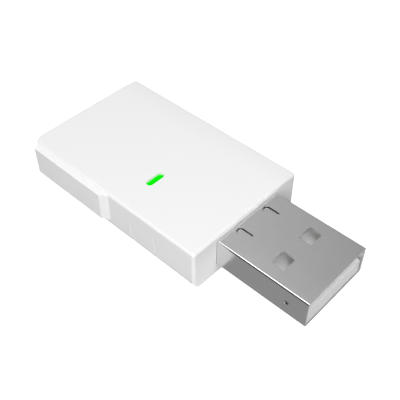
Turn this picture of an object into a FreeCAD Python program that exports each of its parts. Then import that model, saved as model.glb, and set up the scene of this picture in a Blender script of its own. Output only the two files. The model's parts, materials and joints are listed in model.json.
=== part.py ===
"""Bluetooth USB gateway: a small white housing with a USB type A plug. Lengths are in millimetres.

The origin is on the housing's flat underside, at its mid-length, on the plug's centre plane.
+X runs out of the housing along the plug, +Y to the plain long side, and +Z up.
The grip pad is on the -Y side.
"""
import FreeCAD, Part
import Sketcher
import math
import os
import re

# Driving sizes, each one written once
SIZES = {
    # Housing
    "housing_length": 32.3,
    "housing_width": 20.64,
    "roof_thickness": 0.7,
    "side_wall": 2.6,
    "end_wall": 1.3,
    "cavity_corner_radius": 0.8,
    "bottom_edge_radius": 1.9,
    "top_edge_radius": 0.4,
    "corner_radius": 0.45,
    "rear_grip_corner_radius": 2.0,
    "foot_edge_radius": 0.2,
    "roll_width": 3.7,
    "roll_drop": 0.22,
    # Grip pad on the near side
    "grip_rear_inset": 1.25,
    "grip_length": 15.24,
    "grip_proud": 0.78,
    "grip_root": 0.4,
    "grip_foot_height": 2.27,
    "grip_height": 4.72,
    "grip_ledge_drop": 0.2,
    "grip_corner_radius": 0.8,
    "grip_front_bevel": 1.02,
    "grip_rear_bevel": 0.3,
    # Two shallow upright grooves beside the grip pad
    "groove_count": 2,
    "groove_width": 0.42,
    "groove_depth": 0.18,
    "groove_top_height": 5.3,
    "groove_front_inset": 7.07,
    "groove_pitch": 4.45,
    # Oval slot in the roof and the light guide in it
    "slot_plug_gap": 8.8,
    "slot_side_inset": 6.37,
    "slot_length": 3.0,
    "slot_width": 1.05,
    "guide_fit": 0.03,
    "guide_recess": 0.3,
    "guide_collar": 0.4,
    "guide_collar_height": 0.5,
    "guide_light_gap": 0.1,
    # Bottom cover, its posts and its snap arms
    "cover_thickness": 0.75,
    "cover_ledge": 0.4,
    "cover_fit": 0.04,
    "lip_rise": 0.3,
    "post_height": 0.27,
    "post_radius": 0.95,
    "peg_radius": 0.45,
    "peg_height": 2.0,
    "peg_fit": 0.05,
    "boss_wall": 0.5,
    "boss_edge_inset": 1.2,
    "boss_rear_inset": 1.4,
    "boss_plug_gap": 1.5,
    "snap_width": 2.6,
    "snap_thickness": 0.6,
    "snap_height": 3.0,
    "snap_hook": 0.35,
    "snap_hook_height": 0.8,
    "snap_fit": 0.1,
    "snap_notch_fit": 0.3,
    "snap_rear_inset": 6.6,
    "snap_front_inset": 13.6,
    # Circuit board
    "board_thickness": 0.8,
    "board_side_gap": 0.2,
    "board_end_gap": 0.35,
    "board_corner_radius": 0.6,
    # Plug shell, folded from one sheet
    "plug_width": 12.0,
    "plug_height": 4.5,
    "plug_length": 18.75,
    "plug_exposed": 14.35,
    "plug_roof_gap": 0.12,
    "plug_fit": 0.05,
    "sheet_thickness": 0.25,
    "sheet_bend_radius": 0.05,
    "sheet_corner_radius": 0.2,
    "mouth_bevel": 0.1,
    "seam_gap": 0.08,
    "latch_front_inset": 6.27,
    "latch_side_offset": 2.77,
    "latch_length": 1.95,
    "latch_width": 2.37,
    "latch_corner_radius": 0.15,
    "lance_front_inset": 11.6,
    "lance_side_offset": 2.65,
    "lance_length": 2.1,
    "lance_width": 0.9,
    "lance_slit": 0.12,
    "lance_drop": 0.17,
    "lance_corner_radius": 0.38,
    "lance_root": 0.1,
    "dimple_front_inset": 3.1,
    "dimple_radius": 0.42,
    "dimple_depth": 0.14,
    "leg_width": 1.2,
    "leg_rear_inset": 1.0,
    "leg_beyond_board": 0.1,
    "leg_fit": 0.15,
    # Insulator with its tongue, and the four contacts
    "tongue_front_inset": 0.2,
    "tongue_thickness": 2.05,
    "tongue_depth": 9.2,
    "tongue_side_gap": 0.22,
    "tongue_edge_radius": 0.12,
    "insulator_fit": 0.03,
    "insulator_rear_inset": 0.2,
    "lance_pocket_depth": 0.6,
    "lance_pocket_fit": 0.15,
    "contact_width": 1.0,
    "contact_thickness": 0.2,
    "contact_proud": 0.05,
    "contact_fit": 0.04,
    "contact_outer_offset": 3.5,
    "contact_inner_offset": 1.0,
    "contact_outer_inset": 1.6,
    "contact_inner_inset": 2.6,
    "contact_bend_radius": 0.25,
    "contact_dip": 0.4,
    "contact_dip_inset": 5.2,
    "contact_dip_run": 0.6,
    "tail_gap": 0.4,
    "tail_foot": 1.0,
    # Parts on the board: along the board, across it, and height
    "antenna_rear_inset": 0.6,
    "antenna_long": 1.6,
    "antenna_wide": 6.4,
    "antenna_high": 1.0,
    "can_antenna_gap": 0.8,
    "can_long": 6.6,
    "can_wide": 8.6,
    "can_high": 1.7,
    "can_sheet": 0.2,
    "radio_chip_long": 4.0,
    "radio_chip_wide": 5.0,
    "radio_chip_high": 0.9,
    "led_long": 0.8,
    "led_wide": 1.6,
    "led_high": 0.6,
    "led_lens_inset": 0.12,
    "crystal_plug_gap": 11.5,
    "crystal_offset": -3.7,
    "crystal_long": 2.5,
    "crystal_wide": 2.0,
    "crystal_high": 0.7,
    "flash_plug_gap": 11.75,
    "flash_offset": 1.9,
    "flash_long": 3.0,
    "flash_wide": 3.0,
    "flash_high": 0.9,
    "bridge_plug_gap": 7.3,
    "bridge_offset": 1.4,
    "bridge_long": 4.0,
    "bridge_wide": 4.0,
    "bridge_high": 0.85,
    "inductor_plug_gap": 6.7,
    "inductor_offset": -3.9,
    "inductor_long": 2.2,
    "inductor_wide": 1.9,
    "inductor_high": 1.2,
    "bulk_plug_gap": 3.5,
    "bulk_offset": 0.0,
    "bulk_long": 1.6,
    "bulk_wide": 3.0,
    "bulk_high": 1.4,
    "regulator_plug_gap": 3.9,
    "regulator_offset": 3.3,
    "surge_plug_gap": 3.9,
    "surge_offset": -3.3,
    "small_outline_long": 1.3,
    "small_outline_wide": 2.6,
    "small_outline_high": 1.0,
    "lead_width": 0.35,
    "lead_thickness": 0.15,
    "lead_reach": 0.5,
    "lead_height": 0.5,
    "lead_pitch": 0.9,
    "chip_edge": 0.1,
    "bypass_count": 4,
    "bypass_plug_gap": 10.9,
    "bypass_offset": -1.7,
    "bypass_pitch": 1.6,
    "resistor_count": 4,
    "resistor_plug_gap": 10.1,
    "resistor_offset": 4.6,
    "resistor_pitch": 1.3,
    "small_part_long": 1.0,
    "small_part_wide": 0.5,
    "bypass_high": 0.5,
    "resistor_high": 0.35,
    # How far a cutting outline reaches past what it cuts
    "cut_margin": 1.0,
}

# Places and sizes that follow from the driving sizes
BOARD_BOTTOM = "(cover_thickness + post_height)"
BOARD_TOP = f"({BOARD_BOTTOM} + board_thickness)"
PLUG_AXIS = f"({BOARD_TOP} + plug_height / 2)"
PLUG_TOP = f"({BOARD_TOP} + plug_height)"
ROOF_INSIDE = f"({PLUG_TOP} + plug_roof_gap)"
HOUSING_TOP = f"({ROOF_INSIDE} + roof_thickness)"
HALF_LENGTH = "(housing_length / 2)"
HALF_WIDTH = "(housing_width / 2)"
CAVITY_END = f"({HALF_LENGTH} - end_wall)"
CAVITY_SIDE = f"({HALF_WIDTH} - side_wall)"
BOARD_END = f"({CAVITY_END} - board_end_gap)"
BOARD_SIDE = f"({CAVITY_SIDE} - board_side_gap)"
PLUG_FRONT = f"({HALF_LENGTH} + plug_exposed)"
PLUG_REAR = f"({PLUG_FRONT} - plug_length)"
BORE_RADIUS = "(peg_radius + peg_fit)"
BOSS_RADIUS = f"({BORE_RADIUS} + boss_wall)"
BOSS_SIDE = f"({BOARD_SIDE} - boss_edge_inset)"
BOSS_REAR = f"(boss_rear_inset - {BOARD_END})"
BOSS_FRONT = f"({PLUG_REAR} - boss_plug_gap)"
SNAP_REAR = f"(snap_rear_inset - {BOARD_END})"
SNAP_FRONT = f"({HALF_LENGTH} - snap_front_inset)"
SNAP_HOOK_FOOT = "(cover_thickness + snap_height - snap_hook_height)"
SLOT_X = f"({PLUG_REAR} - slot_plug_gap)"
SLOT_Y = f"(slot_side_inset - {HALF_WIDTH})"
TONGUE_TOP = f"({BOARD_TOP} + sheet_thickness + tongue_thickness)"
CONTACT_TOP = f"({TONGUE_TOP} + contact_proud)"
CONTACT_FOOT = f"({CONTACT_TOP} - contact_thickness)"
BURIED_TOP = f"({CONTACT_TOP} - contact_dip)"
BURIED_FOOT = f"({CONTACT_FOOT} - contact_dip)"
DIP_FRONT = f"({PLUG_FRONT} - contact_dip_inset)"
DIP_REAR = f"({DIP_FRONT} - contact_dip_run)"
INSULATOR_FRONT = f"({PLUG_FRONT} - tongue_front_inset)"
INSULATOR_REAR = f"({PLUG_REAR} + insulator_rear_inset)"
BLOCK_FRONT = f"({PLUG_FRONT} - tongue_depth)"
INSULATOR_SIDE = "(plug_width / 2 - sheet_thickness - insulator_fit)"
TONGUE_SIDE = "(plug_width / 2 - sheet_thickness - tongue_side_gap)"
TAIL_BACK = f"({PLUG_REAR} - tail_gap)"
CAN_X = f"(antenna_rear_inset + antenna_long + can_antenna_gap + can_long / 2 - {BOARD_END})"

# Names of the blocks on the board, by the word that starts their sizes
BOARD_NAMES = {
    "crystal": "crystal",
    "flash": "flash_memory",
    "bridge": "usb_bridge_chip",
    "inductor": "power_inductor",
    "bulk": "bulk_capacitor",
}

# How near two places count as the same
NEAR = 1e-4

# Directions in which an arc turns as its path is walked
LEFT = 1
RIGHT = -1

doc = FreeCAD.newDocument("gateway")
sheet = doc.addObject("Spreadsheet::Sheet", "Sizes")
for row, (name, size) in enumerate(SIZES.items(), start=1):
    sheet.set(f"A{row}", name)
    sheet.set(f"B{row}", str(size))
    sheet.setAlias(f"B{row}", name)
doc.recompute()


def bound(expression):
    """Writes the sheet's name before each size that an expression names."""
    return re.sub(r"[a-z_]+", lambda word: f"Sizes.{word.group()}", expression)


def value(expression):
    """The number that an expression of sizes gives."""
    result = sheet.evalExpression(bound(expression))
    return float(getattr(result, "Value", result))


def new_body(name):
    """An empty body whose label is the sub-part's name."""
    body = doc.addObject("PartDesign::Body", name)
    body.Label = name
    return body


def origin_plane(body, role):
    """One of a body's own origin planes."""
    return next(item for item in body.Origin.OriginFeatures if item.Role == role)


class Outline:
    """A sketch on a body's own plane, with each point placed by an expression of sizes."""

    def __init__(self, body, name, plane, offset="0"):
        self.body = body
        self.sketch = body.newObject("Sketcher::SketchObject", f"{body.Name}_{name}")
        self.sketch.AttachmentSupport = [(origin_plane(body, f"{plane}_Plane"), "")]
        self.sketch.MapMode = "FlatFace"
        self.sketch.setExpression("AttachmentOffset.Base.z", bound(offset))

    def drive(self, constraint, expression):
        """Adds a constraint whose value is an expression."""
        index = self.sketch.addConstraint(constraint)
        self.sketch.setExpression(f"Constraints[{index}]", bound(expression))

    def hold(self, element, end, across, up):
        """Holds one end of an element at a place."""
        self.drive(Sketcher.Constraint("DistanceX", -1, 1, element, end, value(across)), across)
        self.drive(Sketcher.Constraint("DistanceY", -1, 1, element, end, value(up)), up)

    def path(self, *points):
        """A closed path. A point is (across, up), or (across, up, radius, turn) at the end of an arc."""
        places = [FreeCAD.Vector(value(point[0]), value(point[1]), 0) for point in points]
        ends = []
        for index, point in enumerate(points):
            start, finish = places[index - 1], places[index]
            if len(point) == 2:
                element = self.sketch.addGeometry(Part.LineSegment(start, finish), False)
                ends.append((element, 1, 2))
            else:
                ends.append(self.arc(start, finish, point[2], point[3]))
        for index, (element, first, last) in enumerate(ends):
            before, _, before_last = ends[index - 1]
            self.sketch.addConstraint(
                Sketcher.Constraint("Coincident", before, before_last, element, first)
            )
            self.hold(element, last, points[index][0], points[index][1])
        return self

    def arc(self, start, finish, radius, turn):
        """An arc of a given radius between two places; returns it with its first and last ends."""
        size = value(radius)
        chord = finish - start
        rise = math.sqrt(max(size * size - chord.Length * chord.Length / 4, 0))
        normal = FreeCAD.Vector(-chord.y, chord.x, 0).normalize() * turn
        centre = (start + finish) * 0.5 + normal * rise
        low, high = (start, finish) if turn == LEFT else (finish, start)
        angles = [math.atan2(place.y - centre.y, place.x - centre.x) for place in (low, high)]
        circle = Part.Circle(centre, FreeCAD.Vector(0, 0, 1), size)
        element = self.sketch.addGeometry(Part.ArcOfCircle(circle, angles[0], angles[1]), False)
        self.drive(Sketcher.Constraint("Radius", element, size), radius)
        return (element, 1, 2) if turn == LEFT else (element, 2, 1)

    def box(self, left, low, right, high):
        """A rectangle."""
        return self.path((left, low), (right, low), (right, high), (left, high))

    def rounded_box(self, left, low, right, high, radius):
        """A rectangle with rounded corners, walked to the left from its lower side."""
        return self.path(
            (f"{left} + {radius}", low, radius, LEFT),
            (f"{right} - {radius}", low),
            (right, f"{low} + {radius}", radius, LEFT),
            (right, f"{high} - {radius}"),
            (f"{right} - {radius}", high, radius, LEFT),
            (f"{left} + {radius}", high),
            (left, f"{high} - {radius}", radius, LEFT),
            (left, f"{low} + {radius}"),
        )

    def oval(self, across, up, length, width):
        """A slot outline with round ends, long way up the sketch."""
        radius = f"({width} / 2)"
        reach = f"(({length} - {width}) / 2)"
        return self.path(
            (f"{across} + {radius}", f"{up} - {reach}", radius, LEFT),
            (f"{across} + {radius}", f"{up} + {reach}"),
            (across, f"{up} + {reach} + {radius}", radius, LEFT),
            (f"{across} - {radius}", f"{up} + {reach}", radius, LEFT),
            (f"{across} - {radius}", f"{up} - {reach}"),
            (across, f"{up} - {reach} - {radius}", radius, LEFT),
        )

    def circle(self, across, up, radius):
        """A full circle."""
        centre = FreeCAD.Vector(value(across), value(up), 0)
        shape = Part.Circle(centre, FreeCAD.Vector(0, 0, 1), value(radius))
        element = self.sketch.addGeometry(shape, False)
        self.hold(element, 3, across, up)
        self.drive(Sketcher.Constraint("Radius", element, value(radius)), radius)
        return self


def add(outline, length, symmetric=False):
    """Pads an outline along its plane's normal."""
    feature = outline.body.newObject("PartDesign::Pad", f"{outline.sketch.Name}_pad")
    feature.Profile = outline.sketch
    feature.SideType = "Symmetric" if symmetric else "One side"
    feature.setExpression("Length", bound(length))
    doc.recompute()
    return feature


def cut(outline, length=None, symmetric=False):
    """Pockets an outline along its plane's normal, right through where no length is given."""
    before = outline.body.Shape.Volume
    feature = outline.body.newObject("PartDesign::Pocket", f"{outline.sketch.Name}_cut")
    feature.Profile = outline.sketch
    feature.SideType = "Symmetric" if symmetric else "One side"
    feature.Reversed = not symmetric
    if length is None:
        feature.Type = "ThroughAll"
    else:
        feature.setExpression("Length", bound(length))
    doc.recompute()
    if not outline.body.Shape.Volume < before:
        raise RuntimeError(f"{feature.Name} removes nothing")
    return feature


def soften(body, kind, name, size, chosen):
    """Rounds or bevels the edges of a body's tip that a test chooses."""
    base = body.Tip
    edges = [f"Edge{index}" for index, edge in enumerate(base.Shape.Edges, 1) if chosen(edge)]
    feature = body.newObject(f"PartDesign::{kind}", f"{body.Name}_{name}")
    feature.Base = (base, edges)
    feature.setExpression("Radius" if kind == "Fillet" else "Size", bound(size))
    doc.recompute()
    return feature


def level(edge, height):
    """Whether an edge lies at one height."""
    box = edge.BoundBox
    return math.isclose(box.ZMin, height, abs_tol=NEAR) and math.isclose(box.ZMax, height, abs_tol=NEAR)


def plug_opening(body, name):
    """The plug's outline with its clearance, on a plane just inside the front wall."""
    side = "(plug_width / 2 + plug_fit)"
    outline = Outline(body, name, "YZ", f"{CAVITY_END} - board_end_gap / 2")
    corner = "(sheet_corner_radius + plug_fit)"
    low, high = f"({BOARD_TOP} - plug_fit)", f"({PLUG_TOP} + plug_fit)"
    return outline.rounded_box(f"-{side}", low, side, high, corner)


def foot_strip(body, end):
    """Cuts the small round under one end of the housing."""
    outline = Outline(body, f"foot_strip_{'front' if end > 0 else 'rear'}", "XZ")
    face = f"{end} * {HALF_LENGTH}"
    start = f"{end} * ({HALF_LENGTH} - foot_edge_radius)"
    beyond = f"{end} * ({HALF_LENGTH} + cut_margin)"
    outline.path(
        (start, "0"),
        (face, "foot_edge_radius", "foot_edge_radius", LEFT if end > 0 else RIGHT),
        (beyond, "foot_edge_radius"),
        (beyond, "-cut_margin"),
        (start, "-cut_margin"),
    )
    cut(outline, symmetric=True)


def circles(outline, radius):
    """Draws a circle at each of the four posts."""
    for x in (BOSS_REAR, BOSS_FRONT):
        for side in (LEFT, RIGHT):
            outline.circle(x, f"{side} * {BOSS_SIDE}", radius)
    return outline


def housing_form(body):
    """The housing's outer form: its plan, raised, with each long edge shaped along its length."""
    plan = Outline(body, "plan", "XY")
    plan.path(
        (f"rear_grip_corner_radius - {HALF_LENGTH}", f"-{HALF_WIDTH}", "rear_grip_corner_radius", LEFT),
        (f"{HALF_LENGTH} - corner_radius", f"-{HALF_WIDTH}"),
        (HALF_LENGTH, f"corner_radius - {HALF_WIDTH}", "corner_radius", LEFT),
        (HALF_LENGTH, f"{HALF_WIDTH} - corner_radius"),
        (f"{HALF_LENGTH} - corner_radius", HALF_WIDTH, "corner_radius", LEFT),
        (f"corner_radius - {HALF_LENGTH}", HALF_WIDTH),
        (f"-{HALF_LENGTH}", f"{HALF_WIDTH} - corner_radius", "corner_radius", LEFT),
        (f"-{HALF_LENGTH}", f"rear_grip_corner_radius - {HALF_WIDTH}"),
    )
    add(plan, HOUSING_TOP)
    for side in (LEFT, RIGHT):
        edge = Outline(body, f"bottom_round_{'far' if side > 0 else 'near'}", "YZ")
        start = f"{side} * ({HALF_WIDTH} - bottom_edge_radius)"
        beyond = f"{side} * ({HALF_WIDTH} + cut_margin)"
        edge.path(
            (start, "0"),
            (f"{side} * {HALF_WIDTH}", "bottom_edge_radius", "bottom_edge_radius", side),
            (beyond, "bottom_edge_radius"),
            (beyond, "-cut_margin"),
            (start, "-cut_margin"),
        )
        cut(edge, symmetric=True)
    roll = Outline(body, "roll", "YZ")
    roll_radius = "((roll_width ^ 2 + roll_drop ^ 2) / (2 * roll_drop))"
    roll.path(
        (f"{HALF_WIDTH} - roll_width", HOUSING_TOP),
        (HALF_WIDTH, f"{HOUSING_TOP} - roll_drop", roll_radius, RIGHT),
        (f"{HALF_WIDTH} + cut_margin", f"{HOUSING_TOP} - roll_drop"),
        (f"{HALF_WIDTH} + cut_margin", f"{HOUSING_TOP} + cut_margin"),
        (f"{HALF_WIDTH} - roll_width", f"{HOUSING_TOP} + cut_margin"),
    )
    cut(roll, symmetric=True)
    for end in (LEFT, RIGHT):
        foot_strip(body, end)
    low = value(f"{HOUSING_TOP} - roll_drop") - NEAR
    inner_x = value(f"{HALF_LENGTH} - rear_grip_corner_radius")
    inner_y = value(f"{HALF_WIDTH} - rear_grip_corner_radius")

    def rim(edge):
        """Whether an edge belongs to the top's outer rim."""
        middle = edge.CenterOfMass
        return edge.BoundBox.ZMin > low and (abs(middle.x) > inner_x or abs(middle.y) > inner_y)

    soften(body, "Fillet", "top_round", "top_edge_radius", rim)


def grip_pad(body):
    """The raised pad on the near side, bevelled at both ends, with a sloping ledge on top."""
    rear = f"(grip_rear_inset - {HALF_LENGTH})"
    front = f"({rear} + grip_length)"
    top = "(grip_foot_height + grip_height)"
    face = f"({HALF_WIDTH} + grip_proud)"
    side = Outline(body, "grip_side", "XZ", f"{HALF_WIDTH} - grip_root")
    side.path(
        (rear, "grip_foot_height"),
        (front, "grip_foot_height"),
        (front, f"{top} - grip_corner_radius"),
        (f"{front} - grip_corner_radius", top, "grip_corner_radius", LEFT),
        (rear, top),
    )
    add(side, "grip_root + grip_proud")
    for name, foot, turn, bevel in (
        ("front", front, LEFT, "grip_front_bevel"),
        ("rear", rear, RIGHT, "grip_rear_bevel"),
    ):
        crest = f"{foot} - {turn} * {bevel}"
        beyond = f"{foot} + {turn} * cut_margin"
        slope = Outline(body, f"grip_{name}_bevel", "XY")
        slope.path(
            (foot, f"-{HALF_WIDTH}"),
            (crest, f"-{face}"),
            (crest, f"-{face} - cut_margin"),
            (beyond, f"-{face} - cut_margin"),
            (beyond, f"-{HALF_WIDTH}"),
        )
        cut(slope)
    ledge = Outline(body, "grip_ledge", "YZ")
    ledge.path(
        (f"-{HALF_WIDTH}", top),
        (f"-{face}", f"{top} - grip_ledge_drop"),
        (f"-{face} - cut_margin", f"{top} - grip_ledge_drop"),
        (f"-{face} - cut_margin", f"{top} + cut_margin"),
        (f"-{HALF_WIDTH}", f"{top} + cut_margin"),
    )
    cut(ledge, symmetric=True)


def grooves(body):
    """The shallow upright grooves, which run out at the top and follow the round under the side."""
    floor_radius = "(bottom_edge_radius - groove_depth)"
    for index in range(round(value("groove_count"))):
        middle = f"{HALF_LENGTH} - groove_front_inset - {index} * groove_pitch"
        groove = Outline(body, f"groove_{index}", "YZ", middle)
        groove.path(
            (f"-{HALF_WIDTH}", "groove_top_height"),
            (f"groove_depth - {HALF_WIDTH}", "bottom_edge_radius"),
            (f"bottom_edge_radius - {HALF_WIDTH}", "groove_depth", floor_radius, LEFT),
            (f"bottom_edge_radius - {HALF_WIDTH}", "-cut_margin"),
            (f"-{HALF_WIDTH} - cut_margin", "-cut_margin"),
            (f"-{HALF_WIDTH} - cut_margin", "groove_top_height"),
        )
        cut(groove, "groove_width", symmetric=True)


def snap_places():
    """Where the snap arms stand along the housing, and on which side."""
    for name, x in (("rear", SNAP_REAR), ("front", SNAP_FRONT)):
        for side in (LEFT, RIGHT):
            yield f"{name}_{'far' if side > 0 else 'near'}", x, side


def span(first, second, side):
    """Two places across a sketch in rising order, on one side of its middle."""
    places = (f"{side} * {first}", f"{side} * {second}")
    return places if side > 0 else places[::-1]


def top_cover():
    """The housing: one moulding, open below, with the grip pad, grooves, slot and bosses."""
    body = new_body("top_cover")
    housing_form(body)
    grip_pad(body)
    grooves(body)
    cavity = Outline(body, "cavity", "XY")
    cavity.rounded_box(
        f"-{CAVITY_END}", f"-{CAVITY_SIDE}", CAVITY_END, CAVITY_SIDE, "cavity_corner_radius"
    )
    cut(cavity, ROOF_INSIDE)
    ledge_end, ledge_side = f"({CAVITY_END} + cover_ledge)", f"({CAVITY_SIDE} + cover_ledge)"
    seat = Outline(body, "cover_seat", "XY")
    seat.rounded_box(f"-{ledge_end}", f"-{ledge_side}", ledge_end, ledge_side, "cavity_corner_radius")
    cut(seat, "cover_thickness")
    cut(plug_opening(body, "plug_opening"))
    notch_side = "(plug_width / 2 + plug_fit)"
    notch = Outline(body, "lip_notch", "YZ", f"{CAVITY_END} - board_end_gap / 2")
    notch.box(f"-{notch_side}", "-cut_margin", notch_side, PLUG_AXIS)
    cut(notch)
    slot = Outline(body, "slot", "XY", PLUG_AXIS)
    cut(slot.oval(SLOT_X, SLOT_Y, "slot_length", "slot_width"))
    bosses = circles(Outline(body, "bosses", "XY", BOARD_TOP), BOSS_RADIUS)
    add(bosses, f"{ROOF_INSIDE} - {BOARD_TOP} + roof_thickness / 2")
    bores = circles(Outline(body, "bores", "XY", BOARD_TOP), BORE_RADIUS)
    cut(bores, "peg_height - board_thickness + 2 * peg_fit")
    for name, x, side in snap_places():
        recess = Outline(body, f"snap_recess_{name}", "XY", f"{SNAP_HOOK_FOOT} - snap_fit")
        low, high = span(f"({CAVITY_SIDE} - snap_hook)", f"({CAVITY_SIDE} + snap_hook + snap_fit)", side)
        half = "(snap_width / 2 + snap_fit)"
        recess.box(f"{x} - {half}", low, f"{x} + {half}", high)
        cut(recess, "snap_hook_height + 2 * snap_fit")
    return body


def bottom_cover():
    """The flush plate below, with the lip under the plug, the posts and the snap arms."""
    body = new_body("bottom_cover")
    end = f"({CAVITY_END} + cover_ledge - cover_fit)"
    side = f"({CAVITY_SIDE} + cover_ledge - cover_fit)"
    plate = Outline(body, "plate", "XY")
    plate.rounded_box(f"-{end}", f"-{side}", end, side, "(cavity_corner_radius - cover_fit)")
    add(plate, "cover_thickness")
    lip_side = "(plug_width / 2 + plug_fit - cover_fit)"
    lip = Outline(body, "lip", "YZ", CAVITY_END)
    lip.box(f"-{lip_side}", "0", lip_side, f"{BOARD_TOP} + lip_rise")
    add(lip, "end_wall")
    cut(plug_opening(body, "lip_seat"))
    foot_strip(body, LEFT)
    add(circles(Outline(body, "posts", "XY"), "post_radius"), BOARD_BOTTOM)
    add(circles(Outline(body, "pegs", "XY"), "peg_radius"), f"{BOARD_BOTTOM} + peg_height")
    outer = f"({CAVITY_SIDE} - snap_fit)"
    top = "(cover_thickness + snap_height)"
    for name, x, side in snap_places():
        arm = Outline(body, f"snap_{name}", "YZ", x)
        arm.path(
            (f"{side} * ({outer} - snap_thickness)", "cover_thickness / 2"),
            (f"{side} * {outer}", "cover_thickness / 2"),
            (f"{side} * {outer}", SNAP_HOOK_FOOT),
            (f"{side} * ({outer} + snap_hook)", SNAP_HOOK_FOOT),
            (f"{side} * {outer}", top),
            (f"{side} * ({outer} - snap_thickness)", top),
        )
        add(arm, "snap_width", symmetric=True)
    return body


def light_guide():
    """The clear oval pin in the roof's slot, held by its collar under the roof."""
    body = new_body("light_guide")
    foot = f"{BOARD_TOP} + led_high + guide_light_gap"
    pin = Outline(body, "pin", "XY", foot)
    pin.oval(SLOT_X, SLOT_Y, "(slot_length - 2 * guide_fit)", "(slot_width - 2 * guide_fit)")
    add(pin, f"{HOUSING_TOP} - guide_recess - ({foot})")
    collar = Outline(body, "collar", "XY", f"{ROOF_INSIDE} - guide_collar_height")
    length, width = "(slot_length + 2 * guide_collar)", "(slot_width + 2 * guide_collar)"
    add(collar.oval(SLOT_X, SLOT_Y, length, width), "guide_collar_height")
    return body


def usb_shell():
    """The plug's shell: a folded sheet with a seam below, latch holes, spring tongues and legs."""
    body = new_body("usb_shell")
    side, inner = "(plug_width / 2)", "(plug_width / 2 - sheet_thickness)"
    low, high = f"({BOARD_TOP} + sheet_thickness)", f"({PLUG_TOP} - sheet_thickness)"
    tube = Outline(body, "tube", "YZ", PLUG_REAR)
    tube.rounded_box(f"-{side}", BOARD_TOP, side, PLUG_TOP, "sheet_corner_radius")
    tube.rounded_box(f"-{inner}", low, inner, high, "sheet_bend_radius")
    add(tube, "plug_length")

    def inner_rim(edge):
        """Whether an edge goes round the inside of the mouth."""
        box = edge.BoundBox
        within_sides = max(-box.YMin, box.YMax) < value(inner) + NEAR
        within_height = box.ZMin > value(low) - NEAR and box.ZMax < value(high) + NEAR
        return box.XMin > value(PLUG_FRONT) - NEAR and within_sides and within_height

    soften(body, "Chamfer", "mouth_bevel", "mouth_bevel", inner_rim)
    seam = Outline(body, "seam", "XY", f"{BOARD_TOP} - sheet_thickness")
    seam.box(f"{PLUG_REAR} - cut_margin", "-seam_gap / 2", f"{PLUG_FRONT} + cut_margin", "seam_gap / 2")
    cut(seam, "3 * sheet_thickness")
    latch_x = f"({PLUG_FRONT} - latch_front_inset)"
    latches = Outline(body, "latch_holes", "XY", f"{BOARD_TOP} - sheet_thickness")
    for turn in (LEFT, RIGHT):
        middle = f"{turn} * latch_side_offset"
        latches.rounded_box(
            f"{latch_x} - latch_length / 2",
            f"{middle} - latch_width / 2",
            f"{latch_x} + latch_length / 2",
            f"{middle} + latch_width / 2",
            "latch_corner_radius",
        )
    cut(latches)
    for name, turn in (("far", LEFT), ("near", RIGHT)):
        lance(body, name, turn)
        leg = Outline(body, f"leg_{name}", "XZ", f"-{side}" if turn > 0 else inner)
        leg_start = f"({PLUG_REAR} + leg_rear_inset)"
        leg.box(leg_start, f"{BOARD_BOTTOM} - leg_beyond_board", f"{leg_start} + leg_width", PLUG_AXIS)
        add(leg, "sheet_thickness")
        dimple(body, name, turn)
    return body


def lance(body, name, turn):
    """A round-ended tongue cut in the shell's roof on three sides and half sheared down at its root."""
    root = f"({PLUG_FRONT} - lance_front_inset)"
    middle = f"({turn} * lance_side_offset)"
    window = Outline(body, f"lance_window_{name}", "XY", PLUG_AXIS)
    lance_plan(window, root, middle, "lance_slit")
    cut(window)
    tab = Outline(body, f"lance_{name}", "XY", f"{PLUG_TOP} - lance_drop - sheet_thickness")
    lance_plan(tab, f"({root} + lance_root)", middle, "0")
    add(tab, "sheet_thickness")


def lance_plan(outline, front, middle, margin):
    """A spring tongue's plan from a front line back to its round end, grown by a margin."""
    half = f"(lance_width / 2 + {margin})"
    tip = f"({PLUG_FRONT} - lance_front_inset - lance_length - {margin})"
    radius = f"(lance_corner_radius + {margin})"
    outline.path(
        (front, f"{middle} - {half}"),
        (front, f"{middle} + {half}"),
        (f"{tip} + {radius}", f"{middle} + {half}"),
        (tip, f"{middle} + {half} - {radius}", radius, LEFT),
        (tip, f"{middle} - {half} + {radius}"),
        (f"{tip} + {radius}", f"{middle} - {half}", radius, LEFT),
    )


def dimple(body, name, turn):
    """A shallow round dimple in one side of the shell, near the mouth."""
    before = body.Shape.Volume
    ball_radius = "((dimple_radius ^ 2 + dimple_depth ^ 2) / (2 * dimple_depth))"
    ball = body.newObject("PartDesign::SubtractiveSphere", f"dimple_{name}")
    ball.setExpression("Radius", bound(ball_radius))
    ball.setExpression("Placement.Base.x", bound(f"{PLUG_FRONT} - dimple_front_inset"))
    across = f"{turn} * (plug_width / 2 + {ball_radius} - dimple_depth)"
    ball.setExpression("Placement.Base.y", bound(across))
    ball.setExpression("Placement.Base.z", bound(PLUG_AXIS))
    doc.recompute()
    if not body.Shape.Volume < before:
        raise RuntimeError(f"{ball.Name} removes nothing")


CONTACTS = (
    ("contact_ground", "contact_outer_offset", "contact_outer_inset"),
    ("contact_data_plus", "contact_inner_offset", "contact_inner_inset"),
    ("contact_data_minus", "(-contact_inner_offset)", "contact_inner_inset"),
    ("contact_power", "(-contact_outer_offset)", "contact_outer_inset"),
)


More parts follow.
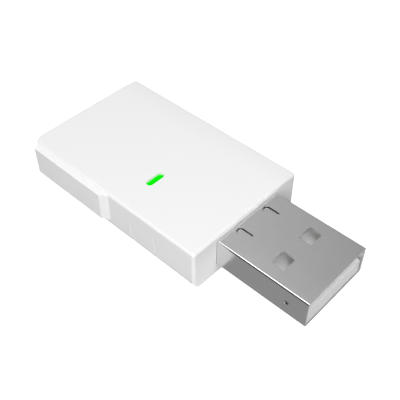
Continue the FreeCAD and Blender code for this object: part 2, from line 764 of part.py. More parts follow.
def usb_insulator():
    """The tongue and its rear block, one moulding, with channels for the contacts."""
    body = new_body("usb_insulator")
    floor = f"({BOARD_TOP} + sheet_thickness)"
    ceiling = f"({PLUG_TOP} - sheet_thickness - insulator_fit)"
    block = Outline(body, "block", "YZ", INSULATOR_REAR)
    block.rounded_box(f"-{INSULATOR_SIDE}", floor, INSULATOR_SIDE, ceiling, "sheet_bend_radius")
    add(block, f"{BLOCK_FRONT} - {INSULATOR_REAR}")
    tongue = Outline(body, "tongue", "YZ", INSULATOR_REAR)
    tongue.box(f"-{TONGUE_SIDE}", floor, TONGUE_SIDE, TONGUE_TOP)
    add(tongue, f"{INSULATOR_FRONT} - {INSULATOR_REAR}")
    nose, crest = value(INSULATOR_FRONT), value(TONGUE_TOP)

    def nose_edge(edge):
        """Whether an edge is the tongue's upper front edge."""
        return level(edge, crest) and abs(edge.CenterOfMass.x - nose) < NEAR

    soften(body, "Fillet", "nose_round", "tongue_edge_radius", nose_edge)
    beyond = f"({INSULATOR_REAR} - cut_margin)"
    for name, y, inset in CONTACTS:
        front = f"({PLUG_FRONT} - {inset} + contact_fit)"
        channel = Outline(body, f"channel_{name}", "XZ", f"-{y}")
        channel.path(
            (front, CONTACT_FOOT),
            (front, f"{CONTACT_TOP} + contact_fit"),
            (DIP_FRONT, f"{CONTACT_TOP} + contact_fit"),
            (DIP_REAR, f"{BURIED_TOP} + contact_fit"),
            (beyond, f"{BURIED_TOP} + contact_fit"),
            (beyond, BURIED_FOOT),
            (DIP_REAR, BURIED_FOOT),
            (DIP_FRONT, CONTACT_FOOT),
        )
        cut(channel, "contact_width + 2 * contact_fit", symmetric=True)
    pockets = Outline(body, "lance_pockets", "XY", f"{ceiling} - lance_pocket_depth")
    for turn in (LEFT, RIGHT):
        middle, half_width = f"{turn} * lance_side_offset", "(lance_width / 2 + lance_pocket_fit)"
        front = f"{PLUG_FRONT} - lance_front_inset + lance_pocket_fit"
        rear = f"{PLUG_FRONT} - lance_front_inset - lance_length - lance_pocket_fit"
        pockets.box(rear, f"{middle} - {half_width}", front, f"{middle} + {half_width}")
    cut(pockets)
    return body


def contact(name, y, inset):
    """One strip: bare near the nose, dipping into the tongue, down behind it and onto the board."""
    body = new_body(name)
    inside, outside = "contact_bend_radius", "(contact_bend_radius + contact_thickness)"
    front = f"{PLUG_FRONT} - {inset}"
    strip = Outline(body, "strip", "XZ", f"-{y}")
    strip.path(
        (front, CONTACT_TOP),
        (DIP_FRONT, CONTACT_TOP),
        (DIP_REAR, BURIED_TOP),
        (f"{TAIL_BACK} + {outside}", BURIED_TOP),
        (TAIL_BACK, f"{BURIED_TOP} - {outside}", outside, LEFT),
        (TAIL_BACK, f"{BOARD_TOP} + {outside}"),
        (f"{TAIL_BACK} - {inside}", f"{BOARD_TOP} + contact_thickness", inside, RIGHT),
        (f"{TAIL_BACK} - tail_foot", f"{BOARD_TOP} + contact_thickness"),
        (f"{TAIL_BACK} - tail_foot", BOARD_TOP),
        (f"{TAIL_BACK} - {inside}", BOARD_TOP),
        (f"{TAIL_BACK} + contact_thickness", f"{BOARD_TOP} + {outside}", outside, LEFT),
        (f"{TAIL_BACK} + contact_thickness", f"{BURIED_TOP} - {outside}"),
        (f"{TAIL_BACK} + {outside}", BURIED_FOOT, inside, RIGHT),
        (DIP_REAR, BURIED_FOOT),
        (DIP_FRONT, CONTACT_FOOT),
        (front, CONTACT_FOOT),
    )
    add(strip, "contact_width", symmetric=True)
    return body


def circuit_board():
    """The board, with peg holes, notches for the snap arms and slots for the plug's legs."""
    body = new_body("circuit_board")
    plate = Outline(body, "plate", "XY", BOARD_BOTTOM)
    plate.rounded_box(f"-{BOARD_END}", f"-{BOARD_SIDE}", BOARD_END, BOARD_SIDE, "board_corner_radius")
    add(circles(plate, BORE_RADIUS), "board_thickness")
    arm_back = f"({CAVITY_SIDE} - snap_fit - snap_thickness - snap_notch_fit)"
    for name, x, side in snap_places():
        notch = Outline(body, f"notch_{name}", "XY", "cover_thickness")
        low, high = span(arm_back, f"({BOARD_SIDE} + cut_margin)", side)
        half = "(snap_width / 2 + snap_notch_fit)"
        notch.box(f"{x} - {half}", low, f"{x} + {half}", high)
        cut(notch)
    slots = Outline(body, "leg_slots", "XY", "cover_thickness")
    start = f"({PLUG_REAR} + leg_rear_inset)"
    for side in (LEFT, RIGHT):
        low, high = span("(plug_width / 2 - sheet_thickness - leg_fit)", "(plug_width / 2 + leg_fit)", side)
        slots.box(f"{start} - leg_fit", low, f"{start} + leg_width + leg_fit", high)
    cut(slots)
    return body


def brick(name, x, y, long, wide, high, lift="0"):
    """A flat chip or block on the board, with its upper edges bevelled."""
    body = new_body(name)
    base = Outline(body, "base", "XY", f"{BOARD_TOP} + {lift}")
    base.box(f"{x} - {long} / 2", f"{y} - {wide} / 2", f"{x} + {long} / 2", f"{y} + {wide} / 2")
    add(base, f"{high} - {lift}")
    top = value(f"{BOARD_TOP} + {high}")
    soften(body, "Chamfer", "bevel", "chip_edge", lambda edge: level(edge, top))
    return body


def small_outline(name, x, y, front_leads, rear_leads):
    """A small leaded package: its block and a row of bent leads on two sides."""
    long, wide = "small_outline_long", "small_outline_wide"
    body = brick(name, x, y, long, wide, "small_outline_high", "lead_thickness")
    for side, leads in ((LEFT, front_leads), (RIGHT, rear_leads)):
        face = f"{x} + {side} * {long} / 2"
        bend = f"{face} + {side} * lead_reach / 2"
        for step in leads:
            lead = Outline(body, f"lead_{side + 1}_{step + 1}", "XZ", f"-({y} + {step} * lead_pitch)")
            lead.path(
                (f"{face} - {side} * lead_thickness", f"{BOARD_TOP} + lead_height"),
                (f"{bend} - {side} * lead_thickness", f"{BOARD_TOP} + lead_height"),
                (f"{bend} - {side} * lead_thickness", BOARD_TOP),
                (f"{face} + {side} * lead_reach", BOARD_TOP),
                (f"{face} + {side} * lead_reach", f"{BOARD_TOP} + lead_thickness"),
                (bend, f"{BOARD_TOP} + lead_thickness"),
                (bend, f"{BOARD_TOP} + lead_height + lead_thickness"),
                (f"{face} - {side} * lead_thickness", f"{BOARD_TOP} + lead_height + lead_thickness"),
            )
            add(lead, "lead_width", symmetric=True)
    return body


def shield_can():
    """The drawn can over the radio chip, open below."""
    body = new_body("shield_can")
    half_long, half_wide = "(can_long / 2)", "(can_wide / 2)"
    outside = Outline(body, "outside", "XY", BOARD_TOP)
    corner = "(2 * can_sheet)"
    outside.rounded_box(
        f"{CAN_X} - {half_long}", f"-{half_wide}", f"{CAN_X} + {half_long}", half_wide, corner
    )
    add(outside, "can_high")
    inside = Outline(body, "inside", "XY", BOARD_TOP)
    inside.rounded_box(
        f"{CAN_X} - {half_long} + can_sheet",
        f"can_sheet - {half_wide}",
        f"{CAN_X} + {half_long} - can_sheet",
        f"{half_wide} - can_sheet",
        "can_sheet",
    )
    cut(inside, "can_high - can_sheet")
    return body


def status_led():
    """The light under the guide: a flat base with a smaller clear block on it."""
    body = new_body("status_led")
    half_long, half_wide = "(led_long / 2)", "(led_wide / 2)"
    base = Outline(body, "base", "XY", BOARD_TOP)
    left, right = f"{SLOT_X} - {half_long}", f"{SLOT_X} + {half_long}"
    low, high = f"{SLOT_Y} - {half_wide}", f"{SLOT_Y} + {half_wide}"
    base.box(left, low, right, high)
    add(base, "led_high / 2")
    lens = Outline(body, "lens", "XY", BOARD_TOP)
    lens.box(left, f"{low} + led_lens_inset", right, f"{high} - led_lens_inset")
    add(lens, "led_high")
    return body


def chip_row(name, word):
    """A row of like small parts, one solid each; a word starts the names of their sizes."""
    row_parts = []
    for index in range(round(value(f"{word}_count"))):
        part = doc.addObject("Part::Box", f"{name}_{index + 1}")
        middle = f"{PLUG_REAR} - {word}_plug_gap + {index} * {word}_pitch"
        part.setExpression("Length", bound("small_part_long"))
        part.setExpression("Width", bound("small_part_wide"))
        part.setExpression("Height", bound(f"{word}_high"))
        part.setExpression("Placement.Base.x", bound(f"{middle} - small_part_long / 2"))
        part.setExpression("Placement.Base.y", bound(f"{word}_offset - small_part_wide / 2"))
        part.setExpression("Placement.Base.z", bound(BOARD_TOP))
        row_parts.append(part)
    group = doc.addObject("Part::Compound", name)
    group.Label = name
    group.Links = row_parts
    return group


def beside_plug(gap):
    """A place along the board, counted back from the plug's rear."""
    return f"({PLUG_REAR} - {gap})"


def parts_on_board():
    """Everything that is soldered to the board, apart from the plug."""
    antenna_x = f"(antenna_rear_inset + antenna_long / 2 - {BOARD_END})"
    yield brick("antenna", antenna_x, "0", "antenna_long", "antenna_wide", "antenna_high")
    yield shield_can()
    yield brick("radio_chip", CAN_X, "0", "radio_chip_long", "radio_chip_wide", "radio_chip_high")
    yield status_led()
    for name in ("crystal", "flash", "bridge", "inductor", "bulk"):
        place = beside_plug(f"{name}_plug_gap")
        sizes = (f"{name}_long", f"{name}_wide", f"{name}_high")
        yield brick(BOARD_NAMES[name], place, f"{name}_offset", *sizes)
    regulator_x, surge_x = beside_plug("regulator_plug_gap"), beside_plug("surge_plug_gap")
    yield small_outline("voltage_regulator", regulator_x, "regulator_offset", (-1, 1), (-1, 0, 1))
    yield small_outline("surge_protector", surge_x, "surge_offset", (-1, 0, 1), (-1, 0, 1))
    yield chip_row("bypass_capacitors", "bypass")
    yield chip_row("resistors", "resistor")


def check(parts):
    """Stops if any object failed, or a part is not one sound shape."""
    for item in doc.Objects:
        if "Invalid" in item.State or "Error" in item.State:
            raise RuntimeError(f"{item.Name} failed: {item.State}")
    for part in parts:
        if part.Shape.isNull() or not part.Shape.isValid():
            raise RuntimeError(f"{part.Label} is not a valid shape")


def main():
    """Builds every part, checks it and writes its file."""
    parts = [top_cover(), bottom_cover(), light_guide(), usb_shell(), usb_insulator()]
    parts += [contact(*row) for row in CONTACTS]
    parts.append(circuit_board())
    parts += list(parts_on_board())
    doc.recompute()
    check(parts)
    os.makedirs("parts", exist_ok=True)
    for part in parts:
        part.Shape.exportStep(os.path.join("parts", f"{part.Label}.step"))
        box = part.Shape.BoundBox
        print(
            f"{part.Label}: {len(part.Shape.Solids)} solid, {part.Shape.Volume:.2f} mm3, "
            f"x {box.XMin:.2f} to {box.XMax:.2f}, y {box.YMin:.2f} to {box.YMax:.2f}, "
            f"z {box.ZMin:.2f} to {box.ZMax:.2f}"
        )


main()
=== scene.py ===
# %% [markdown]
# A small white radio dongle with a metal USB type A plug, an oval green light in its top and a
# raised grip pad on its near side. The solids come finished from the frame, at their real size.
# This lesson gives each of them its surface, sets the dongle on a pale floor and lights it as a
# product picture is lit.

# %% Load the solids
import json
import math

import bpy
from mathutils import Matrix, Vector


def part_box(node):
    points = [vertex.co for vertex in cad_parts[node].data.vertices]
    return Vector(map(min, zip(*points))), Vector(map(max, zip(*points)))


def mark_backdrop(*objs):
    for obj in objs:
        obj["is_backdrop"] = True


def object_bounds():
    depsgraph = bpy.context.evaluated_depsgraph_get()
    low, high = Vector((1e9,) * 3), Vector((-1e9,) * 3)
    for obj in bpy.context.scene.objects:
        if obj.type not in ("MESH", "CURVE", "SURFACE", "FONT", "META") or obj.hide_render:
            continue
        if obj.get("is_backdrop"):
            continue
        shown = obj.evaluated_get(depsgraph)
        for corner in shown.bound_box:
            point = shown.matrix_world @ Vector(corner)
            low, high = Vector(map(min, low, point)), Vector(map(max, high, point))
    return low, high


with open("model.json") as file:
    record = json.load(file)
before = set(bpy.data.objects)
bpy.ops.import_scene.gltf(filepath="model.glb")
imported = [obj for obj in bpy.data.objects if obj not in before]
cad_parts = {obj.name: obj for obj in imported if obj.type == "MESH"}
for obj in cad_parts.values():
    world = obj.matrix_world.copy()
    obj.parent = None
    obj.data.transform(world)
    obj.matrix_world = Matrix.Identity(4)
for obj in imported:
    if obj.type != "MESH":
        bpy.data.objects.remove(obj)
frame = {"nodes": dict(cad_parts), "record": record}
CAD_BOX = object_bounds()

MM = 0.001
NODES = frame["nodes"]
SLOTS = {part["node"]: part["material_slot"] for part in frame["record"]["subparts"]}
print("solids:", len(NODES), "box:", CAD_BOX)

# %% [markdown]
# The camera comes first, because every finish is judged through it. Its place was worked out from
# the edges of the plug, whose real size is a standard one, so it is given here as a place in
# millimetres and a direction. The picture is square, and the long lens keeps the sides of the
# dongle nearly parallel.

# %% Camera
CAMERA_PLACE = Vector((52.59, -48.21, 70.45)) * MM
CAMERA_DIRECTION = Vector((-0.4783, 0.5127, -0.7130))
SENSOR = 36.0
LENS = 60.48

lens_data = bpy.data.cameras.new("camera")
lens_data.sensor_fit = "HORIZONTAL"
lens_data.sensor_width = SENSOR
lens_data.lens = LENS
lens_data.clip_start = MM
camera = bpy.data.objects.new("camera", lens_data)
camera.location = CAMERA_PLACE
camera.rotation_euler = CAMERA_DIRECTION.to_track_quat("-Z", "Y").to_euler()
bpy.context.scene.collection.objects.link(camera)
bpy.context.scene.camera = camera
bpy.context.scene.view_settings.view_transform = "Standard"
print("camera height, mm:", round(CAMERA_PLACE.z / MM, 1))

# %% [markdown]
# Materials are node trees. Small helpers add a node and set its plain values, add a sum, and scale
# a colour, so that each recipe below reads as a list of what is in it.

# %% Helpers for node trees
def add_node(tree, kind, **values):
    """Adds a node; a value named after a socket sets the socket, any other sets a property."""
    node = tree.nodes.new(kind)
    for name, value in values.items():
        label = name.replace("_", " ")
        socket = next((s for s in node.inputs if s.name.lower() == label), None)
        if socket is None:
            setattr(node, name, value)
        else:
            socket.default_value = value
    return node


def add_sum(tree, operation, *terms):
    """A Math node and its result; each term is a number, or an output that is linked."""
    node = add_node(tree, "ShaderNodeMath", operation=operation)
    for socket, term in zip(node.inputs, terms):
        if isinstance(term, bpy.types.NodeSocket):
            tree.links.new(term, socket)
        else:
            socket.default_value = term
    return node.outputs[0]


def add_shade(tree, color, factor):
    """A colour output made lighter or darker by a factor."""
    node = add_node(tree, "ShaderNodeVectorMath", operation="SCALE")
    tree.links.new(color, node.inputs[0])
    tree.links.new(factor, node.inputs["Scale"])
    return node.outputs[0]


def new_material(name):
    """A material with an empty tree, its shader and its output."""
    material = bpy.data.materials.new(name)
    material.use_nodes = True
    tree = material.node_tree
    tree.nodes.clear()
    shader = tree.nodes.new("ShaderNodeBsdfPrincipled")
    output = tree.nodes.new("ShaderNodeOutputMaterial")
    tree.links.new(shader.outputs["BSDF"], output.inputs["Surface"])
    return material, tree, shader


HELPERS = (add_node, add_sum, add_shade, new_material)
print("helpers:", ", ".join(helper.__name__ for helper in HELPERS))

# %% [markdown]
# Moulded plastic is never quite flat: the mould leaves a fine grain that spreads its highlights,
# and a very faint unevenness of tone. Sheet metal carries long rolling marks instead. Both are
# noise read in the object's own coordinates, so one group serves both: it stretches the noise
# along the piece, and gives back a tone, a roughness and a height.

# %% A shared surface group
GRAIN_INPUTS = {
    "Color": "NodeSocketColor",
    "Tone Spread": "NodeSocketFloat",
    "Roughness": "NodeSocketFloat",
    "Roughness Spread": "NodeSocketFloat",
    "Scale": "NodeSocketFloat",
    "Stretch": "NodeSocketVector",
}
GRAIN_OUTPUTS = {"Color": "NodeSocketColor", "Roughness": "NodeSocketFloat", "Height": "NodeSocketFloat"}
UNEVEN_SCALE = 60.0
NOISE_MIDDLE = 0.5


def new_group(name, inputs, outputs):
    """An empty node group with named sockets, its inlet and its outlet."""
    group = bpy.data.node_groups.new(name, "ShaderNodeTree")
    for direction, sockets in (("INPUT", inputs), ("OUTPUT", outputs)):
        for label, kind in sockets.items():
            group.interface.new_socket(label, in_out=direction, socket_type=kind)
    inlet = group.nodes.new("NodeGroupInput")
    outlet = group.nodes.new("NodeGroupOutput")
    return group, inlet.outputs, outlet.inputs


def surface_grain():
    """The group: stretched noise that gives a tone, a roughness and a height."""
    group, given, result = new_group("surface_grain", GRAIN_INPUTS, GRAIN_OUTPUTS)
    place = group.nodes.new("ShaderNodeTexCoord").outputs["Object"]
    stretched = add_node(group, "ShaderNodeVectorMath", operation="MULTIPLY")
    fine = add_node(group, "ShaderNodeTexNoise", detail=3.0, roughness=0.6)
    broad = add_node(group, "ShaderNodeTexNoise", scale=UNEVEN_SCALE, detail=1.0)
    link = group.links.new
    link(place, stretched.inputs[0])
    link(given["Stretch"], stretched.inputs[1])
    link(stretched.outputs[0], fine.inputs["Vector"])
    link(given["Scale"], fine.inputs["Scale"])
    link(place, broad.inputs["Vector"])
    uneven = add_sum(group, "SUBTRACT", broad.outputs[0], NOISE_MIDDLE)
    tone = add_sum(group, "MULTIPLY_ADD", uneven, given["Tone Spread"], 1.0)
    grain = add_sum(group, "SUBTRACT", fine.outputs[0], NOISE_MIDDLE)
    rough = add_sum(group, "MULTIPLY_ADD", grain, given["Roughness Spread"], given["Roughness"])
    link(add_shade(group, given["Color"], tone), result["Color"])
    link(rough, result["Roughness"])
    link(fine.outputs[0], result["Height"])
    return group


GRAIN = surface_grain()
print("group sockets:", [item.name for item in GRAIN.interface.items_tree])

# %% [markdown]
# A finish puts the group into a new material with its own values. The colour and the roughness go
# straight to the shader, and the height goes through a Bump node, whose distance is a real one, in
# thousandths of a millimetre, because the grain of such a small thing is far too fine to model.

# %% A finish with the grain
def grained(name, color, roughness, scale, stretch=(1, 1, 1), tone=0.02, spread=0.1, depth=0.002, **plain):
    """A material with the shared grain; depth is the height of its bumps in millimetres."""
    material, tree, shader = new_material(name)
    grain = add_node(tree, "ShaderNodeGroup", node_tree=GRAIN)
    values = ((*color, 1.0), tone, roughness, spread, scale, stretch)
    for socket, value in zip(GRAIN_INPUTS, values):
        grain.inputs[socket].default_value = value
    bump = add_node(tree, "ShaderNodeBump", distance=depth * MM)
    tree.links.new(grain.outputs["Color"], shader.inputs["Base Color"])
    tree.links.new(grain.outputs["Roughness"], shader.inputs["Roughness"])
    tree.links.new(grain.outputs["Height"], bump.inputs["Height"])
    tree.links.new(bump.outputs["Normal"], shader.inputs["Normal"])
    for socket, value in plain.items():
        shader.inputs[socket.replace("_", " ")].default_value = value
    return material


print("values of a finish:", ", ".join(GRAIN_INPUTS))

# %% [markdown]
# Each slot of the record gets its own finish. The housing is white plastic with a satin mould
# finish. The plug's sheet is nickel-plated steel: metallic, bright, and rolled along the plug.
# The board and its chips are hidden inside, and still get their real finishes, because a cut or
# an opened housing would show them.

# %% Finishes
FINISHES = {
    "white_housing": grained(
        "white_housing", (0.80, 0.80, 0.80), 0.45, 9000.0, tone=0.01, spread=0.08, depth=0.001
    ),
    "plug_sheet": grained(
        "plug_sheet", (0.80, 0.80, 0.80), 0.2, 4000.0, (0.08, 1, 1), tone=0.04, spread=0.12,
        depth=0.0003, Metallic=1.0,
    ),
    "plug_insulator": grained(
        "plug_insulator", (0.90, 0.90, 0.90), 0.4, 6000.0, tone=0.01, spread=0.08, depth=0.001
    ),
    "contact_gold": grained(
        "contact_gold", (0.83, 0.60, 0.22), 0.22, 4000.0, (0.1, 1, 1), tone=0.03, Metallic=1.0
    ),
    "board_green": grained("board_green", (0.02, 0.16, 0.06), 0.35, 3000.0, tone=0.15, Coat_Weight=0.5),
    "chip_black": grained("chip_black", (0.02, 0.02, 0.022), 0.55, 9000.0, tone=0.1, depth=0.003),
    "can_sheet": grained("can_sheet", (0.66, 0.66, 0.65), 0.3, 3000.0, (1, 0.1, 1), Metallic=1.0),
    "antenna_ceramic": grained("antenna_ceramic", (0.72, 0.75, 0.78), 0.3, 5000.0),
    "led_body": grained("led_body", (0.85, 0.92, 0.75), 0.15, 3000.0, tone=0.05),
    "capacitor_ceramic": grained("capacitor_ceramic", (0.40, 0.26, 0.16), 0.45, 6000.0, tone=0.1),
}

# %% [markdown]
# Some surfaces aren't the same all over a piece. A CAD mesh has no paint or face groups to tell
# them apart, so they are found by where they are: this group tests a point against a box in the
# object's own coordinates. It moves the point into the box, and a point that didn't have to move
# was inside.

# %% A group that tests a place
BOX_SKIN = 0.001 * MM


def box_group():
    """The group: one inside the box from Low to High, and nothing outside."""
    corners = {"Low": "NodeSocketVector", "High": "NodeSocketVector"}
    group, given, result = new_group("inside_box", corners, {"Inside": "NodeSocketFloat"})
    place = group.nodes.new("ShaderNodeTexCoord").outputs["Object"]
    held = place
    for operation, limit in (("MAXIMUM", "Low"), ("MINIMUM", "High")):
        clamp = add_node(group, "ShaderNodeVectorMath", operation=operation)
        group.links.new(held, clamp.inputs[0])
        group.links.new(given[limit], clamp.inputs[1])
        held = clamp.outputs[0]
    moved = add_node(group, "ShaderNodeVectorMath", operation="DISTANCE")
    group.links.new(place, moved.inputs[0])
    group.links.new(held, moved.inputs[1])
    inside = add_sum(group, "LESS_THAN", moved.outputs["Value"], BOX_SKIN)
    group.links.new(inside, result["Inside"])
    return group


INSIDE_BOX = box_group()


def add_inside(tree, low, high):
    """The group placed in a material with its box, and its result."""
    node = add_node(tree, "ShaderNodeGroup", node_tree=INSIDE_BOX)
    node.inputs["Low"].default_value = low
    node.inputs["High"].default_value = high
    return node.outputs["Inside"]


def retone(tree, shader, mask, change):
    """Makes the base colour lighter or darker where the mask is one."""
    color = shader.inputs["Base Color"]
    factor = add_sum(tree, "MULTIPLY_ADD", mask, change, 1.0)
    tree.links.new(add_shade(tree, color.links[0].from_socket, factor), color)


print("box group sockets:", [item.name for item in INSIDE_BOX.interface.items_tree])

# %% [markdown]
# The two tongues in the plug's top are sheared from the sheet, and the walls of their slits are
# darkened: painted shade for the dark inside the narrow cuts. The inside of the tube is left matt,
# as it came from the roll. The slits lie within one box over the tongues, and only their walls
# stand upright. The front face of the white tongue inside the plug is darkened too: painted shade.

# %% The plug's painted shade in the slits, matt inside, and painted shade on the tongue's front
PLUG_LOW, PLUG_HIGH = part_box("usb_shell")
INSULATOR_LOW, INSULATOR_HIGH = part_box("usb_insulator")
TUBE_MARGIN = Vector((0.0, 0.2, 0.2)) * MM
TONGUES_LOW = Vector((15.0, -5.0, 5.0)) * MM
TONGUES_HIGH = Vector((21.5, 5.0, 6.30)) * MM
UPRIGHT_LIMIT = 0.75
# Painted shade: how much darker the walls of the slits are.
SLIT_SHADE_TONE = -0.85
MATT_GAIN = 0.35
# Painted shade on the front face of the white tongue: its depth and how much darker it is.
TONGUE_FRONT_DEPTH = 0.1 * MM
TONGUE_FRONT_SHADE = -0.2


def finish_plug(material):
    """Paints shade into the slits of the tongues, and dulls the inside of the tube."""
    tree = material.node_tree
    shader = tree.nodes["Principled BSDF"]
    roughness = shader.inputs["Roughness"]
    facing = tree.nodes.new("ShaderNodeSeparateXYZ")
    tree.links.new(tree.nodes.new("ShaderNodeNewGeometry").outputs["True Normal"], facing.inputs[0])
    upright = add_sum(tree, "COMPARE", facing.outputs["Z"], 0.0, UPRIGHT_LIMIT)
    # The walls of the slits are darkened: painted shade.
    slit_shade = add_sum(tree, "MULTIPLY", add_inside(tree, TONGUES_LOW, TONGUES_HIGH), upright)
    retone(tree, shader, slit_shade, SLIT_SHADE_TONE)
    tube = add_inside(tree, PLUG_LOW + TUBE_MARGIN, PLUG_HIGH - TUBE_MARGIN)
    matt = add_sum(tree, "MULTIPLY_ADD", tube, MATT_GAIN, roughness.links[0].from_socket)
    tree.links.new(matt, roughness)


def finish_tongue(material):
    """Paints shade on the front face of the plug's white tongue."""
    tree = material.node_tree
    shaded_front_low = Vector((INSULATOR_HIGH.x - TONGUE_FRONT_DEPTH, INSULATOR_LOW.y, INSULATOR_LOW.z))
    # The front face of the tongue is darkened: painted shade.
    front_shade = add_inside(tree, shaded_front_low, INSULATOR_HIGH)
    retone(tree, tree.nodes["Principled BSDF"], front_shade, TONGUE_FRONT_SHADE)


finish_plug(FINISHES["plug_sheet"])
finish_tongue(FINISHES["plug_insulator"])
print("plug box, mm:", [round(edge / MM, 2) for edge in (*PLUG_LOW, *PLUG_HIGH)])

# %% [markdown]
# The light guide is clear green plastic with the light right under it, so it reads as a glowing
# surface. Its glow is an emission colour, a little stronger along its middle, where the light
# sits below.

# %% The glowing guide
GUIDE_MIDDLE = sum(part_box("light_guide"), Vector()) / 2
GUIDE_REACH = Vector((1.6, 3.0)) * MM
GUIDE_RIM = (0.0, 0.82, 0.001, 1.0)
GUIDE_CORE = (0.0, 0.87, 0.001, 1.0)
GUIDE_PLASTIC = (0.0, 0.03, 0.0, 1.0)


def guide_material():
    """Green plastic that glows from within, strongest over the light."""
    material, tree, shader = new_material("green_guide")
    place = tree.nodes.new("ShaderNodeTexCoord")
    centred = add_node(tree, "ShaderNodeMapping", vector_type="TEXTURE")
    centred.inputs["Location"].default_value = (GUIDE_MIDDLE.x, GUIDE_MIDDLE.y, 0.0)
    centred.inputs["Scale"].default_value = (*GUIDE_REACH, 1.0)
    ball = add_node(tree, "ShaderNodeTexGradient", gradient_type="SPHERICAL")
    ramp = tree.nodes.new("ShaderNodeValToRGB")
    rim, core = ramp.color_ramp.elements
    rim.color = GUIDE_RIM
    core.color = GUIDE_CORE
    core.position = 0.5
    tree.links.new(place.outputs["Object"], centred.inputs["Vector"])
    tree.links.new(centred.outputs[0], ball.inputs["Vector"])
    tree.links.new(ball.outputs["Fac"], ramp.inputs["Fac"])
    tree.links.new(ramp.outputs["Color"], shader.inputs["Emission Color"])
    shader.inputs["Base Color"].default_value = GUIDE_PLASTIC
    shader.inputs["Specular IOR Level"].default_value = 0.03
    shader.inputs["Emission Strength"].default_value = 1.0
    shader.inputs["Roughness"].default_value = 0.2
    return material


FINISHES["green_guide"] = guide_material()
for name, node in NODES.items():
    node.data.materials.clear()
    node.data.materials.append(FINISHES[SLOTS[name]])
print("finishes:", sorted(FINISHES))

# %% [markdown]
# The surround is what the plug's polished sheet shows in its reflections. It is built from zones of
# the sky, each a fade between two places along one direction, which runs from -1 to 1. Overhead it
# is pale at the rear and falls off forwards, so that the plug's top darkens towards its mouth. It
# is dark on the grip side, and again in a band below the horizon, which draws the crisp dark line
# along the plug's near edge. Further down it is a middle grey, which the plug's side shows, and
# the camera itself sees it as white.

# %% Places and levels of the surround
REAR_FADE, REAR_LEVEL = (-1.0, 0.22), 0.82
FRONT_RISE, FRONT_LEVEL = (0.1, 0.8), 0.12
HIGH_EDGE, HIGH_LEVEL = (0.84, 0.88), 0.25
BEHIND = (-0.10, -0.30)
HORIZON_RISE = (0.0, 0.3)
GRIP_SIDE, GRIP_SIDE_SHARE = (-0.45, -0.25), 0.03
BAND_END, BAND_LEVEL, LOW_LEVEL = (-0.5, -0.66), 0.03, 0.31
LOW_FRONT_GAIN = 3.0
UNDER = (0.0, -0.1)
FAR_SIDE, FAR_LOW_LEVEL = (0.0, 0.4), 0.22
BACKDROP = 1.0


def add_fade(tree, source, places, low, high):
    """A value that goes from low to high between two places, and is held at both ends."""
    node = tree.nodes.new("ShaderNodeMapRange")
    tree.links.new(source, node.inputs["Value"])
    ends = {"From Min": places[0], "From Max": places[1], "To Min": low, "To Max": high}
    for name, value in ends.items():
        node.inputs[name].default_value = value
    return node.outputs[0]


print("levels of the surround:", REAR_LEVEL, FRONT_LEVEL, HIGH_LEVEL, BAND_LEVEL, LOW_LEVEL, FAR_LOW_LEVEL)

# %% [markdown]
# The sky above the horizon is one product: the rear fade, the front rise and the strip high up
# behind, added up, then faded out at the horizon and on the grip side. The part below is a sum of
# the band, the grey under it, a lighter part under the mouth and a grey on the far side.

# %% Surround
def upper_sky(tree, along, across, up, beyond):
    """The level above the horizon."""
    rear = add_fade(tree, along, REAR_FADE, REAR_LEVEL, 0.0)
    high = add_fade(tree, up, HIGH_EDGE, 0.0, HIGH_LEVEL)
    strip = add_sum(tree, "MULTIPLY", high, add_fade(tree, along, BEHIND, 0.0, 1.0))
    level = add_sum(tree, "ADD", add_sum(tree, "ADD", rear, beyond), strip)
    risen = add_sum(tree, "MULTIPLY", level, add_fade(tree, up, HORIZON_RISE, 0.0, 1.0))
    return add_sum(tree, "MULTIPLY", risen, add_fade(tree, across, GRIP_SIDE, GRIP_SIDE_SHARE, 1.0))


def lower_part(tree, across, up, beyond):
    """The level below the horizon."""
    depth = add_fade(tree, up, BAND_END, BAND_LEVEL, LOW_LEVEL)
    below = add_fade(tree, up, BAND_END, 0.0, LOW_FRONT_GAIN)
    front = add_sum(tree, "MULTIPLY_ADD", beyond, below, depth)
    under = add_fade(tree, up, UNDER, 0.0, 1.0)
    return add_sum(tree, "MULTIPLY_ADD", under, add_fade(tree, across, FAR_SIDE, 0.0, FAR_LOW_LEVEL), front)


def studio_world():
    """The surround, read by its direction along and across the dongle and by its height."""
    world = bpy.data.worlds.new("studio")
    world.use_nodes = True
    tree = world.node_tree
    tree.nodes.clear()
    parts = tree.nodes.new("ShaderNodeSeparateXYZ")
    tree.links.new(tree.nodes.new("ShaderNodeTexCoord").outputs["Generated"], parts.inputs[0])
    along, across, up = parts.outputs
    beyond = add_fade(tree, along, FRONT_RISE, 0.0, FRONT_LEVEL)
    upper = upper_sky(tree, along, across, up, beyond)
    total = add_sum(tree, "ADD", upper, lower_part(tree, across, up, beyond))
    camera_ray = tree.nodes.new("ShaderNodeLightPath").outputs["Is Camera Ray"]
    surround = tree.nodes.new("ShaderNodeBackground")
    output = tree.nodes.new("ShaderNodeOutputWorld")
    tree.links.new(add_sum(tree, "MULTIPLY_ADD", camera_ray, BACKDROP, total), surround.inputs["Color"])
    tree.links.new(surround.outputs[0], output.inputs["Surface"])
    return world


bpy.context.scene.world = studio_world()
print("surround nodes:", len(bpy.context.scene.world.node_tree.nodes))

# %% [markdown]
# Three soft square lights do the rest. One is overhead and lights the top. One stands low on the
# grip side, and the plug's near edge shows it as a bright line. The third is in front and above:
# it lights the end face, and gives most of the light in the plug's mouth.

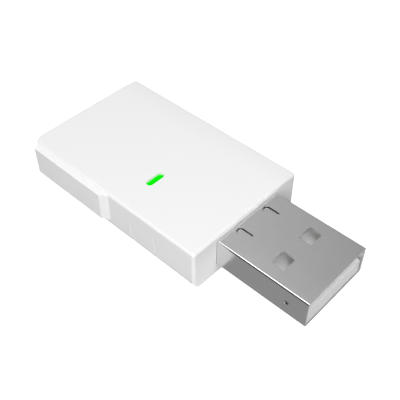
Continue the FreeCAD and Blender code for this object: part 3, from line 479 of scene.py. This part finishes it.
# %% Lights
LAMP_DISTANCE = 350.0 * MM
LAMPS = {
    "overhead": ((0.0, 0.0, 1.0), 300.0, 2.29),
    "key": ((0.45, -0.85, 0.28), 300.0, 1.56),
    "front_high": ((0.60, -0.46, 0.66), 260.0, 3.65),
}


def soft_light(name, direction, width, radiance):
    """A square light, aimed at the dongle; width in millimetres, and the brightness of its face."""
    data = bpy.data.lights.new(name, "AREA")
    data.shape = "SQUARE"
    data.size = width * MM
    data.energy = radiance * math.pi * data.size ** 2
    lamp = bpy.data.objects.new(name, data)
    aim = Vector(direction).normalized()
    lamp.location = aim * LAMP_DISTANCE
    lamp.rotation_euler = aim.to_track_quat("Z", "Y").to_euler()
    bpy.context.scene.collection.objects.link(lamp)
    return lamp


for lamp_name, lamp_sizes in LAMPS.items():
    soft_light(lamp_name, *lamp_sizes)
print("lamps:", ", ".join(LAMPS))

# %% [markdown]
# The floor is a plain pale sheet. The picture's ground is pure white and shows no shadow, so the
# sheet glows for the camera and for nothing else. Its own tone only sets how much light it throws
# back on the sides of the dongle. Reflections pass through it, because the plug shows the
# surround's lower part and no floor.

# %% Floor
FLOOR_SIZE = 1200.0 * MM
FLOOR_GLOW = 0.9
FLOOR_TONE = 0.6
FLOOR_ROUGHNESS = 0.9


def grey(level):
    """A neutral colour."""
    return (level, level, level, 1.0)


def pale_floor():
    """A large pale sheet under the dongle."""
    bpy.ops.mesh.primitive_plane_add(size=FLOOR_SIZE, location=(0, 0, CAD_BOX[0][2]))
    floor = bpy.context.object
    floor.name = "floor"
    floor.visible_glossy = False
    material, tree, shader = new_material("floor")
    shader.inputs["Base Color"].default_value = grey(FLOOR_TONE)
    shader.inputs["Roughness"].default_value = FLOOR_ROUGHNESS
    shader.inputs["Specular IOR Level"].default_value = 0.0
    shader.inputs["Emission Color"].default_value = grey(1.0)
    camera_ray = tree.nodes.new("ShaderNodeLightPath").outputs["Is Camera Ray"]
    glow = add_sum(tree, "MULTIPLY", camera_ray, FLOOR_GLOW)
    tree.links.new(glow, shader.inputs["Emission Strength"])
    floor.data.materials.append(material)
    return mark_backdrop(floor)


pale_floor()
print("floor, mm:", round(FLOOR_SIZE / MM))
